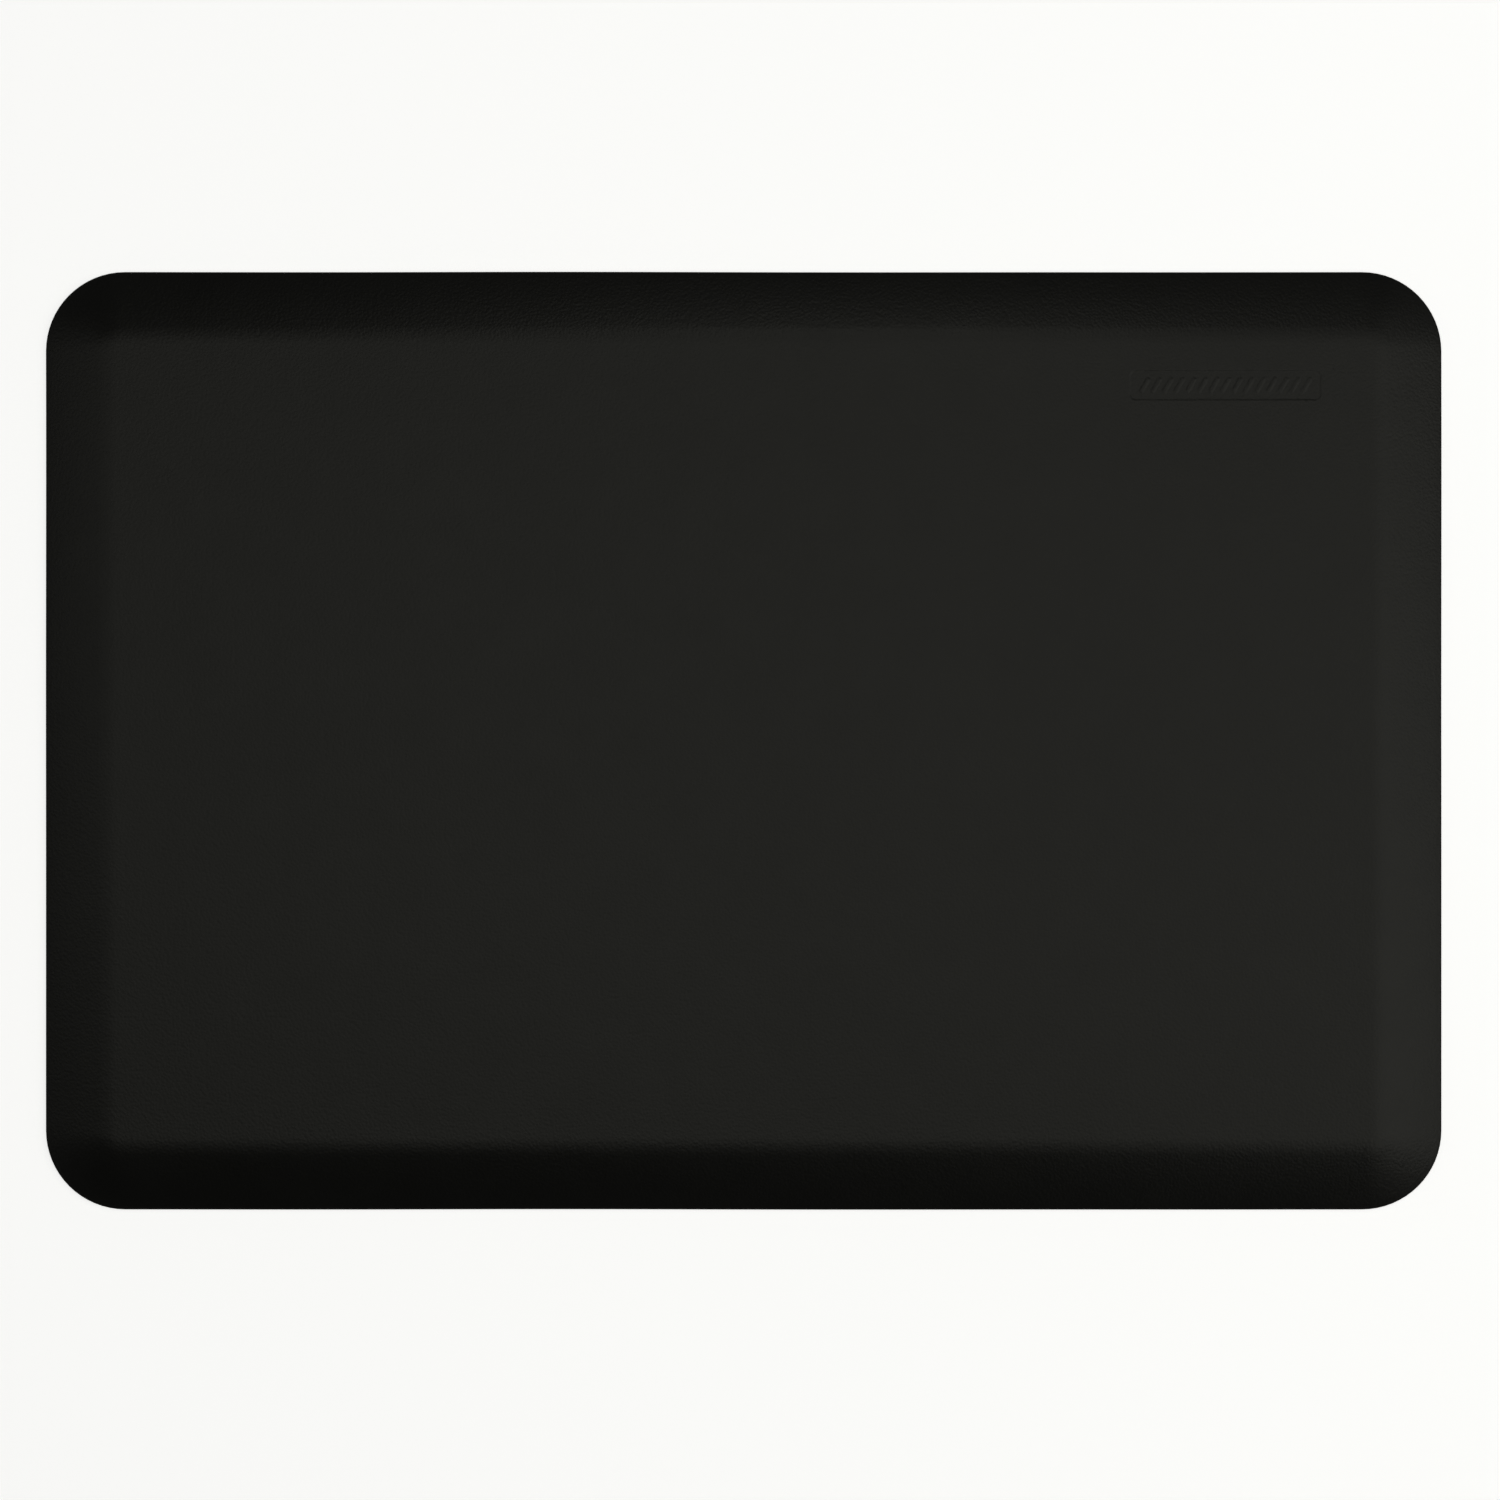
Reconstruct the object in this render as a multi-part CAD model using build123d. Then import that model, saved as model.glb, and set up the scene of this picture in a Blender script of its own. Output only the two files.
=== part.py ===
from build123d import *

import math
import os

# An anti-fatigue standing mat of moulded polyurethane, with ramped edges on all four sides.
# Three bonded layers make it: a wear skin on top, a cushioning foam core, and a base skin with
# a moulded grip pattern. Millimetres, +Z up. The origin is on the floor under the mat's centre,
# +X runs along the long side and +Y along the short side.

# Overall size
LENGTH = 914.0
WIDTH = 614.0
THICKNESS = 19.0
CORNER_RADIUS = 52.0

# Edge section, from the standing face outwards. Each angle is the slope below horizontal.
CREST_RADIUS = 45.0
RAMP_RADIUS = 270.0
LIP_RADIUS = 2.5
RAMP_TOP_SLOPE = 16.0
RAMP_FOOT_SLOPE = 24.0

# Layers
SKIN = 1.5
BASE_SKIN = 1.5
BASE_SETBACK = 0.3
BASE_EDGE_RADIUS = 0.5

# Recessed panel in the standing face, with a row of slanted tread bars in it
PANEL_CENTRE = (313.0, 231.0)
PANEL_LENGTH = 124.0
PANEL_WIDTH = 19.0
PANEL_DEPTH = 0.35
PANEL_CORNER = 4.0
BAR_COUNT = 15
BAR_LENGTH = 11.0
BAR_WIDTH = 2.4
BAR_HEIGHT = 0.3
BAR_SLANT = 30.0
BAR_PITCH = 7.5

# Shallow round suction dimples under the mat, in staggered rows inside a plain border
DIMPLE_DIAMETER = 14.0
DIMPLE_DEPTH = 0.6
DIMPLE_PITCH = 26.0
PLAIN_BORDER = 16.0


def polar(radius, slope):
    """The (outwards, up) offset at that radius, square to a surface that slopes by that angle."""
    return Vector(math.sin(math.radians(slope)), math.cos(math.radians(slope))) * radius


# Arc centres of the edge section, as (distance outwards from the corner's axis, height)
LIP_CENTRE_OUT = CORNER_RADIUS - LIP_RADIUS
CREST_TO_RAMP = polar(CREST_RADIUS - RAMP_RADIUS, RAMP_TOP_SLOPE)
RAMP_TO_LIP = polar(RAMP_RADIUS - LIP_RADIUS, RAMP_FOOT_SLOPE)
CREST_CENTRE = Vector(LIP_CENTRE_OUT - (CREST_TO_RAMP + RAMP_TO_LIP).X, THICKNESS - CREST_RADIUS)
RAMP_CENTRE = CREST_CENTRE + CREST_TO_RAMP
LIP_CENTRE = RAMP_CENTRE + RAMP_TO_LIP


def arc_about(centre, radius, start, end):
    """An arc of the edge section about a centre, from one slope to another."""
    points = [centre + polar(radius, slope) for slope in (start, (start + end) / 2, end)]
    return ThreePointArc(*points)


def edge_section(inset, bottom):
    """The section from a corner's axis out to the edge, set in from the surface by inset."""
    crest = arc_about(CREST_CENTRE, CREST_RADIUS - inset, 0, RAMP_TOP_SLOPE)
    ramp = arc_about(RAMP_CENTRE, RAMP_RADIUS - inset, RAMP_TOP_SLOPE, RAMP_FOOT_SLOPE)
    lip = arc_about(LIP_CENTRE, LIP_RADIUS - inset, RAMP_FOOT_SLOPE, 90)
    walls = Polyline(
        lip @ 1,
        (CORNER_RADIUS - inset, bottom),
        (0, bottom),
        (0, THICKNESS - inset),
        crest @ 0,
    )
    return make_face([crest, ramp, lip, walls])


def ramped_slab(inset, bottom):
    """The mat's outer form above the height bottom, set in from its surface by inset."""
    section = Rot(90, 0, 0) * edge_section(inset, bottom)
    half_x = LENGTH / 2 - CORNER_RADIUS
    half_y = WIDTH / 2 - CORNER_RADIUS
    height = THICKNESS - inset - bottom
    middle = Box(2 * half_x, 2 * half_y, height, align=(Align.CENTER, Align.CENTER, Align.MIN))
    pieces = [Pos(0, 0, bottom) * middle]
    for x, y, turn, run in (
        (half_x, half_y, 0, 2 * half_y),
        (-half_x, half_y, 90, 2 * half_x),
        (-half_x, -half_y, 180, 2 * half_y),
        (half_x, -half_y, 270, 2 * half_x),
    ):
        at_corner = Pos(x, y, 0) * Rot(0, 0, turn)
        pieces.append(at_corner * revolve(section, Axis.Z, revolution_arc=90))
        pieces.append(at_corner * extrude(section, amount=run))
    return pieces[0].fuse(*pieces[1:]).clean()


def rounded_plate(length, width, corner, depth, top):
    """A plate with rounded corners, hanging down by depth from the height top."""
    return Pos(0, 0, top) * extrude(RectangleRounded(length, width, corner), amount=-depth)


def wear_skin():
    """The top skin: standing face, ramps and lip as one shell, open underneath for the core."""
    shell = ramped_slab(0, BASE_SKIN) - ramped_slab(SKIN, BASE_SKIN)
    at_panel = Pos(*PANEL_CENTRE, 0)
    shell -= at_panel * rounded_plate(
        PANEL_LENGTH, PANEL_WIDTH, PANEL_CORNER, PANEL_DEPTH, THICKNESS
    )
    bar = SlotOverall(BAR_LENGTH, BAR_WIDTH, rotation=90 - BAR_SLANT)
    floor_of_panel = Pos(0, 0, THICKNESS - PANEL_DEPTH)
    for i in range(BAR_COUNT):
        along = (i - (BAR_COUNT - 1) / 2) * BAR_PITCH
        shell += at_panel * floor_of_panel * Pos(along, 0, 0) * extrude(bar, amount=BAR_HEIGHT)
    return shell


def foam_core():
    """The cushioning slab, which fills the space between the two skins."""
    return ramped_slab(SKIN, BASE_SKIN)


def dimple_centres():
    """The centres of the staggered dimples, clear of the plain border and of the mat's centre."""
    row_pitch = DIMPLE_PITCH * math.sqrt(3) / 2
    margin = PLAIN_BORDER + DIMPLE_DIAMETER / 2
    corner_x = LENGTH / 2 - CORNER_RADIUS
    corner_y = WIDTH / 2 - CORNER_RADIUS
    rows = int((WIDTH / 2 - margin) / row_pitch)
    columns = int((LENGTH / 2 - margin) / DIMPLE_PITCH) + 1
    centres = []
    for row in range(-rows, rows + 1):
        stagger = 0 if row % 2 else DIMPLE_PITCH / 2
        for column in range(-columns, columns + 1):
            x = column * DIMPLE_PITCH + stagger
            y = row * row_pitch
            past_corner = math.hypot(max(0, abs(x) - corner_x), max(0, abs(y) - corner_y))
            if past_corner <= CORNER_RADIUS - margin:
                centres.append((x, y))
    return centres


def base_skin():
    """The bottom skin: a thin plate with a soft lower edge and suction dimples that grip."""
    length = LENGTH - 2 * BASE_SETBACK
    width = WIDTH - 2 * BASE_SETBACK
    corner = CORNER_RADIUS - BASE_SETBACK
    plate = rounded_plate(length, width, corner, BASE_SKIN, BASE_SKIN)
    plate = fillet(plate.faces().sort_by(Axis.Z)[0].outer_wire().edges(), BASE_EDGE_RADIUS)
    ball_radius = ((DIMPLE_DIAMETER / 2) ** 2 + DIMPLE_DEPTH**2) / (2 * DIMPLE_DEPTH)
    ball = Pos(0, 0, DIMPLE_DEPTH - ball_radius) * Sphere(ball_radius)
    on_floor = (Align.CENTER, Align.CENTER, Align.MIN)
    dimple = ball & Box(DIMPLE_PITCH, DIMPLE_PITCH, BASE_SKIN, align=on_floor)
    return plate.cut(*[Pos(x, y, 0) * dimple for x, y in dimple_centres()])


def main():
    os.makedirs("parts", exist_ok=True)
    for name, solid in (
        ("top_skin", wear_skin()),
        ("foam_core", foam_core()),
        ("base_skin", base_skin()),
    ):
        export_step(solid, f"parts/{name}.step")


main()
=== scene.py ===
import math

import bmesh
import bpy
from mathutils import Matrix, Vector, noise


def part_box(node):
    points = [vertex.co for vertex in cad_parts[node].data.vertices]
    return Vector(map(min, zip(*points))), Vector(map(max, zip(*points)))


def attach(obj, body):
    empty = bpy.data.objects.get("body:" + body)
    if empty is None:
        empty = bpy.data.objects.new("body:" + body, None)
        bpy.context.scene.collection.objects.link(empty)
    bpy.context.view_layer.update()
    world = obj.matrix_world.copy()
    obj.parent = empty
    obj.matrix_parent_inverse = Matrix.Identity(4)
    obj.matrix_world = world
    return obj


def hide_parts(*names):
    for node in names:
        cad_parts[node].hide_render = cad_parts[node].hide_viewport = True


# A black anti-fatigue mat of moulded polyurethane: a grained top skin with a small ribbed panel
# pressed into it, a foam core that the skins seal in, and a base skin with suction dimples.
# Everything is in metres, in the CAD model's frame.

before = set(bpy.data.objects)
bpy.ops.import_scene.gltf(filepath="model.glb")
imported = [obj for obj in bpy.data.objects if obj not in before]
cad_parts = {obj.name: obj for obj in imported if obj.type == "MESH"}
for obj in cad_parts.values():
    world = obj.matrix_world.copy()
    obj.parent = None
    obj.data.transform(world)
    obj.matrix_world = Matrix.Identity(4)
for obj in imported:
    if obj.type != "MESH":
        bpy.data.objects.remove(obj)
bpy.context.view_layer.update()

MM = 0.001

# The layers' sizes, from the CAD model
skin_low, skin_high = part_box("top_skin")
core_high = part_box("foam_core")[1]
base_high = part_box("base_skin")[1]
HALF_LENGTH = skin_high.x
HALF_WIDTH = skin_high.y
THICKNESS = skin_high.z
PARTING = skin_low.z
SKIN = skin_high.z - core_high.z
BASE_SETBACK = skin_high.x - base_high.x

# The edge section, as in the CAD model. Each angle is the slope below horizontal, in degrees.
CORNER_RADIUS = 52 * MM
CREST_RADIUS = 45 * MM
RAMP_RADIUS = 270 * MM
LIP_RADIUS = 2.5 * MM
RAMP_TOP_SLOPE = 16
RAMP_FOOT_SLOPE = 24

# Softened edges at the parting line and round the underside, and the gap round the sealed core
PARTING_ROUND = 0.25 * MM
BASE_ROUND = 0.5 * MM
CORE_CLEARANCE = 0.02 * MM

# The recessed panel in the standing face, and its slanted bars. Softness is how wide the slope
# down a moulded edge is.
PANEL_CENTRE = Vector((313, 231)) * MM
PANEL_LENGTH = 124 * MM
PANEL_WIDTH = 19 * MM
PANEL_DEPTH = 0.35 * MM
PANEL_CORNER = 4 * MM
BAR_COUNT = 15
BAR_LENGTH = 11 * MM
BAR_WIDTH = 2.4 * MM
BAR_HEIGHT = 0.3 * MM
BAR_SLANT = 30
BAR_PITCH = 7.5 * MM
RELIEF_SOFTNESS = 1.0 * MM

# The suction dimples under the mat
DIMPLE_DIAMETER = 14 * MM
DIMPLE_DEPTH = 0.6 * MM
DIMPLE_PITCH = 26 * MM
PLAIN_BORDER = 16 * MM
DIMPLE_SOFTNESS = 0.4 * MM

# Mesh density: the flat grids' pitches, and the steps round a corner or along one arc of a section
FINE_GRID = 5 * MM
COARSE_GRID = 10 * MM
CORNER_STEPS = 16
SURFACE_STEPS = 9
HIDDEN_STEPS = 3
CORE_STEPS = 4
PARTING_STEPS = 3
BASE_STEPS = 5

# Cuts in each grid line near the panel, edges on each side of a dimple's six-sided cell, and how
# near each other the vertices that two cells share may lie
PANEL_CUTS = 9
CELL_SIDE_PARTS = 3
MERGE_DISTANCE = 0.01 * MM

# Angles in degrees above which an edge stays sharp
SLAB_CREASE = 40
DIMPLE_CREASE = 30

# Small real-life unevenness of a moulded foam slab. The long and the short edges each follow their
# own row of the noise.
SWELL_HEIGHT = 0.15 * MM
SWELL_SPAN = 130 * MM
EDGE_WANDER = 0.4 * MM
EDGE_WANDER_SPAN = 240 * MM
EDGE_REACH_POWER = 4
END_NOISE_ROW = 3.7
SIDE_NOISE_ROW = 8.1

# Looks. Every scale is in features per metre, and the colours are linear.
PLASTIC_IOR = 1.5
PEBBLE_SCALE = 550
PEBBLE_BLEND = 0.6
PEBBLE_HEIGHT = 0.13 * MM
PORE_SCALE = 2600
PORE_DEPTH = 0.015 * MM
SKIN_MOTTLE_SCALE = 22
SKIN_MOTTLE_ROUGHNESS = 0.6
SKIN_COLOURS = ((0.0044, 0.0044, 0.0040), (0.0068, 0.0068, 0.0062))
SKIN_GLOSS_SCALE = 35
SKIN_ROUGHNESSES = (0.40, 0.46)
SHEEN_WEIGHT = 1.0
SHEEN_ROUGHNESS = 0.3
SHEEN_TINT = (1, 1, 0.94, 1)
FOAM_CELL_SCALE = 1400
FOAM_CELL_DEPTH = 0.12 * MM
# The foam's darker colour fills the middles of its cells, where the bump sinks them into pits:
# painted shade
FOAM_COLOURS = ((0.022, 0.022, 0.020), (0.040, 0.040, 0.037))
FOAM_ROUGHNESS = 0.85
PEEL_SCALE = 420
PEEL_DEPTH = 0.03 * MM
BASE_MOTTLE_SCALE = 18
BASE_COLOURS = ((0.0090, 0.0090, 0.0084), (0.0125, 0.0125, 0.0116))
BASE_ROUGHNESSES = (0.40, 0.52)

# The camera, straight over the mat: its height, and the width and middle of what it takes in at
# the height of the mat's rim
CAMERA_HEIGHT = 2.0
FRAME_WIDTH = 982.6 * MM
CAMERA_PLACE = (4.2 * MM, -6.0 * MM)

# The studio sweep, a round floor that curves up into a wall, a hair below the mat
FLOOR_REACH = 7.0
FLOOR_DROP = 0.1 * MM
SWEEP_CURVE = 2.5
WALL_HEIGHT = 6.0
SWEEP_SIDES = 96
SWEEP_COLOUR = (0.86, 0.86, 0.86, 1)
SWEEP_ROUGHNESS = 0.9
SWEEP_GLOW = 0.76

# The faint glow round the horizon, by how steeply a direction rises: 0 level, 1 straight up
BLACK = (0, 0, 0, 1)
GLOW = (0.2, 0.2, 0.2, 1)
GLOW_FOOT = 0.01
GLOW_TOP = 0.2
GLOW_FADED = 0.26

# The softboxes under the ceiling: name, centre, size and radiance
CEILING = 2.4
LIGHT_COLOUR = (1, 1, 0.9)
SOFTBOXES = (
    ("overhead_box", (0, 0), (1.82, 1.89), 0.525),
    ("right_box", (4.38, -0.60), (6.62, 3.13), 0.68),
    ("left_box", (-3.04, 0.25), (4.00, 1.39), 0.40),
    ("back_box", (0.19, 1.72), (0.10, 0.26), 34.6),
    ("corner_box", (2.10, 1.65), (0.50, 0.50), 2.4),
)


# ---------------------------------------------------------------- edge section

def polar(radius, slope):
    """The (outwards, up) offset at that radius, square to a surface that slopes by that angle."""
    return Vector((math.sin(math.radians(slope)), math.cos(math.radians(slope)))) * radius


def arc_about(centre, radius, start, end, steps):
    """Points (out, up) along an arc about a centre, from one slope to another."""
    slopes = [start + (end - start) * i / steps for i in range(steps + 1)]
    return [centre + polar(radius, slope) for slope in slopes]


# Arc centres as (distance outwards from the corner's axis, height)
CREST_TO_RAMP = polar(CREST_RADIUS - RAMP_RADIUS, RAMP_TOP_SLOPE)
RAMP_TO_LIP = polar(RAMP_RADIUS - LIP_RADIUS, RAMP_FOOT_SLOPE)
CREST_CENTRE = Vector((
    CORNER_RADIUS - LIP_RADIUS - (CREST_TO_RAMP + RAMP_TO_LIP).x,
    THICKNESS - CREST_RADIUS,
))
RAMP_CENTRE = CREST_CENTRE + CREST_TO_RAMP
LIP_CENTRE = RAMP_CENTRE + RAMP_TO_LIP


def ramped_edge(inset, steps):
    """The section from the plateau over the crest, ramp and lip, set in from the surface."""
    crest = arc_about(CREST_CENTRE, CREST_RADIUS - inset, 0, RAMP_TOP_SLOPE, steps)
    ramp = arc_about(RAMP_CENTRE, RAMP_RADIUS - inset, RAMP_TOP_SLOPE, RAMP_FOOT_SLOPE, steps)
    lip = arc_about(LIP_CENTRE, LIP_RADIUS - inset, RAMP_FOOT_SLOPE, 90, steps)
    return crest + ramp[1:] + lip[1:]


def rounded_foot(out, height, radius, steps):
    """The section round a convex lower edge, from its wall in to the flat under it."""
    return arc_about(Vector((out - radius, height + radius)), radius, 90, 180, steps)


def rounded_brow(out, height, radius, steps):
    """The section round a convex upper edge, from the flat on top of it out to its wall."""
    return arc_about(Vector((out - radius, height - radius)), radius, 0, 90, steps)


# ---------------------------------------------------------------- mesh building

def even_lines(half, pitch):
    """Evenly spaced grid lines from -half to half, about that far apart."""
    count = round(2 * half / pitch)
    return [-half + 2 * half * i / count for i in range(count + 1)]


def plateau(bm, pitch, height):
    """A flat grid between the corners' axes. Gives its border as (vertex, outward direction)."""
    x_lines = even_lines(HALF_LENGTH - CORNER_RADIUS, pitch)
    y_lines = even_lines(HALF_WIDTH - CORNER_RADIUS, pitch)
    grid = [[bm.verts.new((x, y, height)) for x in x_lines] for y in y_lines]
    for near, far in zip(grid, grid[1:]):
        for i in range(len(x_lines) - 1):
            bm.faces.new((near[i], near[i + 1], far[i + 1], far[i]))
    front = grid[0]
    right = [row[-1] for row in grid]
    back = grid[-1][::-1]
    left = [row[0] for row in grid[::-1]]
    border = []
    for side, facing in ((front, -90), (right, 0), (back, 90), (left, 180)):
        round_corner = [facing + 90 * i / CORNER_STEPS for i in range(1, CORNER_STEPS)]
        turns = [facing] * len(side) + round_corner
        verts = side + [side[-1]] * len(round_corner)
        for vert, turn in zip(verts, turns):
            outwards = Vector((math.cos(math.radians(turn)), math.sin(math.radians(turn)), 0))
            border.append((vert, outwards))
    return border


def join(bm, inner, outer):
    """Faces between two rings of vertices, triangles where the inner ring stands on a corner."""
    for i in range(len(inner)):
        corners = [inner[i - 1], outer[i - 1], outer[i], inner[i]]
        if inner[i] is inner[i - 1]:
            corners.pop()
        bm.faces.new(corners)


def skirt(bm, border, section):
    """Rings that follow a section outwards and down from a plateau's border. Gives the last."""
    last = [vert for vert, outwards in border]
    for out, height in section:
        ring = []
        for vert, outwards in border:
            place = vert.co + outwards * out
            ring.append(bm.verts.new((place.x, place.y, height)))
        join(bm, last, ring)
        last = ring
    return last


def unevenness(place):
    """How far a place on the slab strays: its edges sideways, its standing face up and down."""
    along = place / EDGE_WANDER_SPAN
    reach_x = (place.x / HALF_LENGTH) ** EDGE_REACH_POWER
    reach_y = (place.y / HALF_WIDTH) ** EDGE_REACH_POWER
    reach_z = max(0, place.z - PARTING) / (THICKNESS - PARTING)
    return Vector((
        noise.noise(Vector((along.y, END_NOISE_ROW, 0))) * EDGE_WANDER * reach_x,
        noise.noise(Vector((along.x, SIDE_NOISE_ROW, 0))) * EDGE_WANDER * reach_y,
        noise.noise(Vector((place.x, place.y, 0)) / SWELL_SPAN) * SWELL_HEIGHT * reach_z,
    ))


def finished_piece(bm, name, material, cad_node, crease=SLAB_CREASE):
    """Turns a built mesh into a piece that stands for its CAD node on the part's only body."""
    for vert in bm.verts:
        vert.co += unevenness(vert.co)
    bmesh.ops.recalc_face_normals(bm, faces=bm.faces)
    mesh = bpy.data.meshes.new(name)
    bm.to_mesh(mesh)
    bm.free()
    mesh.shade_smooth()
    mesh.set_sharp_from_angle(angle=math.radians(crease))
    mesh.materials.append(material)
    piece = bpy.data.objects.new(name, mesh)
    bpy.context.scene.collection.objects.link(piece)
    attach(piece, "root")
    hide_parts(cad_node)


# ---------------------------------------------------------------- top skin

def smooth_rise(distance, softness):
    """0 outside, 1 inside and an even S-curve across an outline, by the distance inside it."""
    share = min(1, max(0, distance / softness + 0.5))
    return share * share * (3 - 2 * share)


def inside_rounded_box(offset, length, width, corner):
    """How far inside a rounded rectangle an offset from its centre lies."""
    across = abs(offset.x) - length / 2 + corner
    along = abs(offset.y) - width / 2 + corner
    outside = math.hypot(max(across, 0), max(along, 0))
    return corner - outside - min(max(across, along), 0)


def panel_relief(place):
    """The standing face's height at a place: the recessed panel, and the bars that rise in it."""
    offset = place - PANEL_CENTRE
    recess = smooth_rise(
        inside_rounded_box(offset, PANEL_LENGTH, PANEL_WIDTH, PANEL_CORNER), RELIEF_SOFTNESS
    )
    slant = Vector((math.sin(math.radians(BAR_SLANT)), math.cos(math.radians(BAR_SLANT))))
    bar = round(offset.x / BAR_PITCH - offset.y / BAR_PITCH * slant.x / slant.y)
    bar = max(-(BAR_COUNT // 2), min(BAR_COUNT // 2, bar))
    from_bar = offset - Vector((bar * BAR_PITCH, 0))
    reach = (BAR_LENGTH - BAR_WIDTH) / 2
    nearest = slant * max(-reach, min(reach, from_bar.dot(slant)))
    inside_bar = BAR_WIDTH / 2 - (from_bar - nearest).length
    return BAR_HEIGHT * smooth_rise(inside_bar, RELIEF_SOFTNESS) - PANEL_DEPTH * recess


def near_panel(place):
    """Whether a place is on the standing face, in or just round the panel."""
    offset = place.xy - PANEL_CENTRE
    return (
        place.z > THICKNESS - SKIN / 2
        and abs(offset.x) < PANEL_LENGTH / 2 + FINE_GRID
        and abs(offset.y) < PANEL_WIDTH / 2 + FINE_GRID
    )


def press_panel(bm):
    """Divides the standing face finely round the panel, then presses the panel into it."""
    edges = [
        edge
        for edge in bm.edges
        if any(near_panel(face.calc_center_median()) for face in edge.link_faces)
    ]
    bmesh.ops.subdivide_edges(bm, edges=edges, cuts=PANEL_CUTS, use_grid_fill=True)
    # The coarse faces next to the fine ones become fans, so that no triangle is left without area
    many_sided = [face for face in bm.faces if len(face.verts) > 4]
    bmesh.ops.poke(bm, faces=many_sided)
    for vert in bm.verts:
        if near_panel(vert.co):
            vert.co.z += panel_relief(vert.co.xy)


def make_top_skin(material):
    """The wear skin: a watertight shell of the plateau, ramps and lip, hollow under it all."""
    bm = bmesh.new()
    border = plateau(bm, FINE_GRID, THICKNESS)
    foot = rounded_foot(CORNER_RADIUS, PARTING, PARTING_ROUND, PARTING_STEPS)
    outer_rim = skirt(bm, border, ramped_edge(0, SURFACE_STEPS) + foot)
    border = plateau(bm, FINE_GRID, THICKNESS - SKIN)
    wall_foot = [Vector((CORNER_RADIUS - SKIN, PARTING))]
    inner_rim = skirt(bm, border, ramped_edge(SKIN, HIDDEN_STEPS) + wall_foot)
    join(bm, outer_rim, inner_rim)
    press_panel(bm)
    finished_piece(bm, "top_skin_grained", material, "top_skin")


# ---------------------------------------------------------------- foam core

def make_foam_core(material):
    """The cushioning slab that the two skins seal in, a hair clear of both."""
    bm = bmesh.new()
    inset = SKIN + CORE_CLEARANCE
    border = plateau(bm, COARSE_GRID, THICKNESS - inset)
    foot = [Vector((CORNER_RADIUS - inset, PARTING + CORE_CLEARANCE))]
    rim = skirt(bm, border, ramped_edge(inset, CORE_STEPS) + foot)
    border = plateau(bm, COARSE_GRID, PARTING + CORE_CLEARANCE)
    join(bm, [vert for vert, outwards in border], rim)
    finished_piece(bm, "foam_core_slab", material, "foam_core")


# ---------------------------------------------------------------- base skin

def dimple_centres():
    """The centres of the staggered dimples, clear of the plain border and of the mat's centre."""
    row_pitch = DIMPLE_PITCH * math.sqrt(3) / 2
    margin = PLAIN_BORDER + DIMPLE_DIAMETER / 2
    corner_x = HALF_LENGTH - CORNER_RADIUS
    corner_y = HALF_WIDTH - CORNER_RADIUS
    rows = int((HALF_WIDTH - margin) / row_pitch)
    columns = int((HALF_LENGTH - margin) / DIMPLE_PITCH) + 1
    centres = []
    for row in range(-rows, rows + 1):
        stagger = 0 if row % 2 else DIMPLE_PITCH / 2
        for column in range(-columns, columns + 1):
            x = column * DIMPLE_PITCH + stagger
            y = row * row_pitch
            past_corner = math.hypot(max(0, abs(x) - corner_x), max(0, abs(y) - corner_y))
            if past_corner <= CORNER_RADIUS - margin:
                centres.append(Vector((x, y, 0)))
    return centres


def dimple_height(radius):
    """How high the dimple's dished face stands over the floor, by the distance from its centre."""
    rim = DIMPLE_DIAMETER / 2
    ball = (rim**2 + DIMPLE_DEPTH**2) / (2 * DIMPLE_DEPTH)
    return math.sqrt(ball**2 - radius**2) - ball + DIMPLE_DEPTH


def dimple_cells(bm):
    """The dimpled field of the underside, one six-sided cell of faces round each dimple."""
    corner_angles = [math.radians(30 + 60 * i) for i in range(7)]
    corners = [
        Vector((math.cos(angle), math.sin(angle), 0)) * DIMPLE_PITCH / math.sqrt(3)
        for angle in corner_angles
    ]
    outline = [
        start.lerp(end, i / CELL_SIDE_PARTS)
        for start, end in zip(corners, corners[1:])
        for i in range(CELL_SIDE_PARTS)
    ]
    rim = DIMPLE_DIAMETER / 2
    circles = [
        (rim + DIMPLE_SOFTNESS, 0),
        (rim - DIMPLE_SOFTNESS, dimple_height(rim - DIMPLE_SOFTNESS)),
        (rim / 2, dimple_height(rim / 2)),
    ]
    made = []
    for centre in dimple_centres():
        last = [bm.verts.new(centre + offset) for offset in outline]
        made += last
        for radius, height in circles:
            ring = [
                bm.verts.new(centre + offset.normalized() * radius + Vector((0, 0, height)))
                for offset in outline
            ]
            join(bm, last, ring)
            last = ring
        top = bm.verts.new(centre + Vector((0, 0, DIMPLE_DEPTH)))
        for i in range(len(last)):
            bm.faces.new((last[i - 1], last[i], top))
    bmesh.ops.remove_doubles(bm, verts=made, dist=MERGE_DISTANCE)


def make_base_skin(material):
    """The bottom skin: a thin plate with softened edges and suction dimples in its underside."""
    bm = bmesh.new()
    border = plateau(bm, COARSE_GRID, PARTING)
    out = CORNER_RADIUS - BASE_SETBACK
    brow = rounded_brow(out, PARTING, PARTING_ROUND, PARTING_STEPS)
    foot = rounded_foot(out, 0, BASE_ROUND, BASE_STEPS)
    skirt(bm, border, brow + foot)
    dimple_cells(bm)
    loose = [edge for edge in bm.edges if edge.is_boundary]
    bmesh.ops.triangle_fill(bm, edges=loose, use_beauty=True, normal=(0, 0, -1))
    finished_piece(bm, "base_skin_dimpled", material, "base_skin", crease=DIMPLE_CREASE)


# ---------------------------------------------------------------- materials

def new_material(name):
    """A new material, with its nodes, links and shader."""
    material = bpy.data.materials.new(name)
    material.use_nodes = True
    nodes = material.node_tree.nodes
    shader = nodes["Principled BSDF"]
    shader.inputs["IOR"].default_value = PLASTIC_IOR
    return material, nodes, material.node_tree.links, shader


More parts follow.
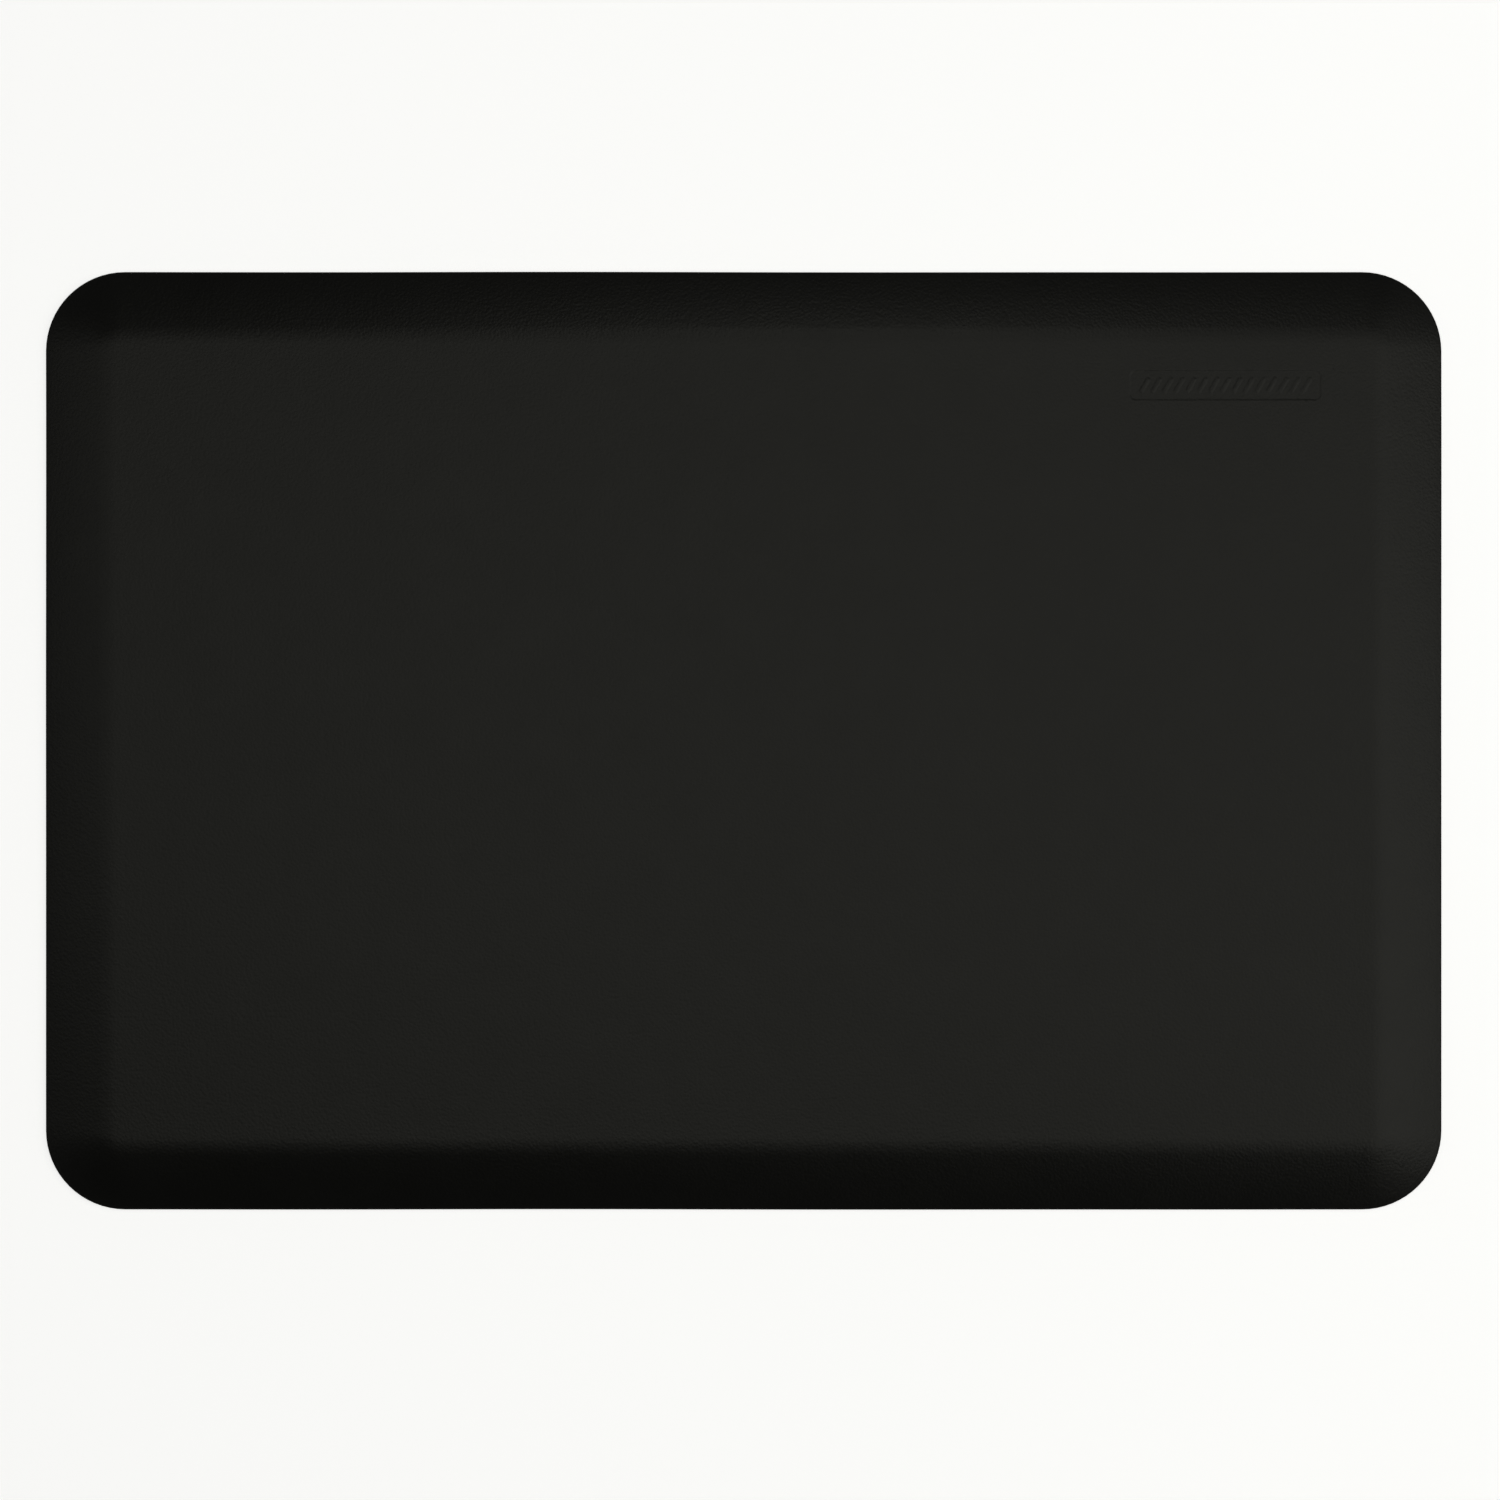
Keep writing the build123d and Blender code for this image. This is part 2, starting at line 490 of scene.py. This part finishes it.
def noise_field(nodes, links, coordinates, scale, detail=3, roughness=0.5):
    """A noise over the object, scale being features per metre. Gives its output."""
    field = nodes.new("ShaderNodeTexNoise")
    field.inputs["Scale"].default_value = scale
    field.inputs["Detail"].default_value = detail
    field.inputs["Roughness"].default_value = roughness
    links.new(coordinates, field.inputs["Vector"])
    return field.outputs["Fac"]


def cell_field(nodes, links, coordinates, scale):
    """A pattern of cells over the object. Gives the node, whose Distance is 0 in their middles."""
    cells = nodes.new("ShaderNodeTexVoronoi")
    cells.inputs["Scale"].default_value = scale
    links.new(coordinates, cells.inputs["Vector"])
    return cells


def ranged(nodes, links, value, low, high):
    """A 0 to 1 value spread over another range."""
    spread = nodes.new("ShaderNodeMapRange")
    spread.inputs["To Min"].default_value = low
    spread.inputs["To Max"].default_value = high
    links.new(value, spread.inputs["Value"])
    return spread.outputs["Result"]


def mixed_colour(nodes, links, share, first, second):
    """A colour between two, by a 0 to 1 share."""
    mix = nodes.new("ShaderNodeMix")
    mix.data_type = "RGBA"
    mix.inputs["A"].default_value = (*first, 1)
    mix.inputs["B"].default_value = (*second, 1)
    links.new(share, mix.inputs["Factor"])
    return mix.outputs["Result"]


def bumped(nodes, links, height, distance, under=None):
    """A bump of that height in metres, on top of another bump if one is given."""
    bump = nodes.new("ShaderNodeBump")
    bump.inputs["Strength"].default_value = 1
    bump.inputs["Distance"].default_value = distance
    links.new(height, bump.inputs["Height"])
    if under:
        links.new(under, bump.inputs["Normal"])
    return bump.outputs["Normal"]


def grained_skin():
    """Matt black moulded skin: a fine pebble grain, an uneven gloss and a pale sheen."""
    material, nodes, links, shader = new_material("black_grained_polyurethane")
    shader.inputs["Sheen Weight"].default_value = SHEEN_WEIGHT
    shader.inputs["Sheen Roughness"].default_value = SHEEN_ROUGHNESS
    shader.inputs["Sheen Tint"].default_value = SHEEN_TINT
    coordinates = nodes.new("ShaderNodeTexCoord").outputs["Object"]

    pebbles = cell_field(nodes, links, coordinates, PEBBLE_SCALE)
    pebbles.feature = "SMOOTH_F1"
    pebbles.inputs["Smoothness"].default_value = PEBBLE_BLEND
    grain = bumped(nodes, links, pebbles.outputs["Distance"], -PEBBLE_HEIGHT)
    pores = noise_field(nodes, links, coordinates, PORE_SCALE, detail=2)
    grain = bumped(nodes, links, pores, PORE_DEPTH, under=grain)
    links.new(grain, shader.inputs["Normal"])

    mottle = noise_field(
        nodes, links, coordinates, SKIN_MOTTLE_SCALE, detail=5, roughness=SKIN_MOTTLE_ROUGHNESS
    )
    colour = mixed_colour(nodes, links, mottle, *SKIN_COLOURS)
    links.new(colour, shader.inputs["Base Color"])
    gloss = noise_field(nodes, links, coordinates, SKIN_GLOSS_SCALE, detail=4)
    links.new(ranged(nodes, links, gloss, *SKIN_ROUGHNESSES), shader.inputs["Roughness"])
    return material


def foam():
    """Dark fine-celled polyurethane foam, with painted shade in the pits of its cells."""
    material, nodes, links, shader = new_material("charcoal_polyurethane_foam")
    shader.inputs["Roughness"].default_value = FOAM_ROUGHNESS
    coordinates = nodes.new("ShaderNodeTexCoord").outputs["Object"]
    cells = cell_field(nodes, links, coordinates, FOAM_CELL_SCALE).outputs["Distance"]
    links.new(bumped(nodes, links, cells, FOAM_CELL_DEPTH), shader.inputs["Normal"])
    # Painted shade: the colour is darker in the cells' middles, where the bump makes pits, and
    # lighter on the walls between them
    links.new(mixed_colour(nodes, links, cells, *FOAM_COLOURS), shader.inputs["Base Color"])
    return material


def smooth_skin():
    """Satin black moulded skin with a slight orange peel, for the underside."""
    material, nodes, links, shader = new_material("black_smooth_polyurethane")
    coordinates = nodes.new("ShaderNodeTexCoord").outputs["Object"]
    peel = noise_field(nodes, links, coordinates, PEEL_SCALE, detail=2)
    links.new(bumped(nodes, links, peel, PEEL_DEPTH), shader.inputs["Normal"])
    mottle = noise_field(nodes, links, coordinates, BASE_MOTTLE_SCALE, detail=4)
    colour = mixed_colour(nodes, links, mottle, *BASE_COLOURS)
    links.new(colour, shader.inputs["Base Color"])
    links.new(ranged(nodes, links, mottle, *BASE_ROUGHNESSES), shader.inputs["Roughness"])
    return material


# ---------------------------------------------------------------- stage, lights, camera

def make_camera():
    """A camera straight over the mat, whose square frame just takes it in."""
    camera = bpy.data.objects.new("camera", bpy.data.cameras.new("camera"))
    camera.location = (*CAMERA_PLACE, CAMERA_HEIGHT)
    camera.data.lens = camera.data.sensor_width * (CAMERA_HEIGHT - LIP_CENTRE.y) / FRAME_WIDTH
    bpy.context.scene.collection.objects.link(camera)
    bpy.context.scene.camera = camera


def make_sweep():
    """The studio's pale ground: a round floor that curves up into a wall all round. It glows a
    little, and throws no light or shade on the mat, whose ramps stay as dark as against white."""
    material, nodes, links, shader = new_material("pale_studio_sweep")
    shader.inputs["Base Color"].default_value = SWEEP_COLOUR
    shader.inputs["Roughness"].default_value = SWEEP_ROUGHNESS
    shader.inputs["Emission Color"].default_value = (1, 1, 1, 1)
    shader.inputs["Emission Strength"].default_value = SWEEP_GLOW
    bm = bmesh.new()
    curve = arc_about(Vector((FLOOR_REACH, SWEEP_CURVE)), SWEEP_CURVE, 180, 90, CORNER_STEPS)
    section = [Vector((0, 0))] + curve + [Vector((FLOOR_REACH + SWEEP_CURVE, WALL_HEIGHT))]
    verts = [bm.verts.new((out, 0, height - FLOOR_DROP)) for out, height in section]
    edges = [bm.edges.new(pair) for pair in zip(verts, verts[1:])]
    bmesh.ops.spin(
        bm, geom=verts + edges, axis=(0, 0, 1), angle=math.tau, steps=SWEEP_SIDES, use_merge=True
    )
    bmesh.ops.remove_doubles(bm, verts=bm.verts, dist=MM)
    bmesh.ops.recalc_face_normals(bm, faces=bm.faces)
    mesh = bpy.data.meshes.new("studio_sweep")
    bm.to_mesh(mesh)
    bm.free()
    mesh.shade_smooth()
    mesh.materials.append(material)
    sweep = bpy.data.objects.new("studio_sweep", mesh)
    sweep.visible_diffuse = False
    sweep.visible_glossy = False
    sweep.visible_shadow = False
    bpy.context.scene.collection.objects.link(sweep)


def make_world():
    """A dark studio with a faint glow round the horizon, for the mat's rim."""
    world = bpy.data.worlds.new("studio")
    world.use_nodes = True
    nodes, links = world.node_tree.nodes, world.node_tree.links
    direction = nodes.new("ShaderNodeTexCoord").outputs["Generated"]
    parts = nodes.new("ShaderNodeSeparateXYZ")
    links.new(direction, parts.inputs["Vector"])
    glow = nodes.new("ShaderNodeValToRGB")
    for end in glow.color_ramp.elements:
        end.color = BLACK
    for height, colour in ((GLOW_FOOT, GLOW), (GLOW_TOP, GLOW), (GLOW_FADED, BLACK)):
        glow.color_ramp.elements.new(height).color = colour
    links.new(parts.outputs["Z"], glow.inputs["Fac"])
    links.new(glow.outputs["Color"], nodes["Background"].inputs["Color"])
    bpy.context.scene.world = world


def softbox(name, centre, size, radiance):
    """A rectangular soft light at the ceiling's height that shines straight down. Its power is
    its radiance times its area times pi."""
    light = bpy.data.lights.new(name, "AREA")
    light.shape = "RECTANGLE"
    light.size, light.size_y = size
    light.energy = radiance * math.pi * size[0] * size[1]
    light.color = LIGHT_COLOUR
    lamp = bpy.data.objects.new(name, light)
    lamp.location = (*centre, CEILING)
    lamp.visible_camera = False
    bpy.context.scene.collection.objects.link(lamp)


def make_lights():
    """A row of softboxes over the mat's long axis, widest to the right, and two small ones behind
    it that are stronger."""
    for name, centre, size, radiance in SOFTBOXES:
        softbox(name, centre, size, radiance)


def main():
    bpy.context.scene.view_settings.view_transform = "Standard"
    make_top_skin(grained_skin())
    make_foam_core(foam())
    make_base_skin(smooth_skin())
    make_sweep()
    make_world()
    make_lights()
    make_camera()


main()
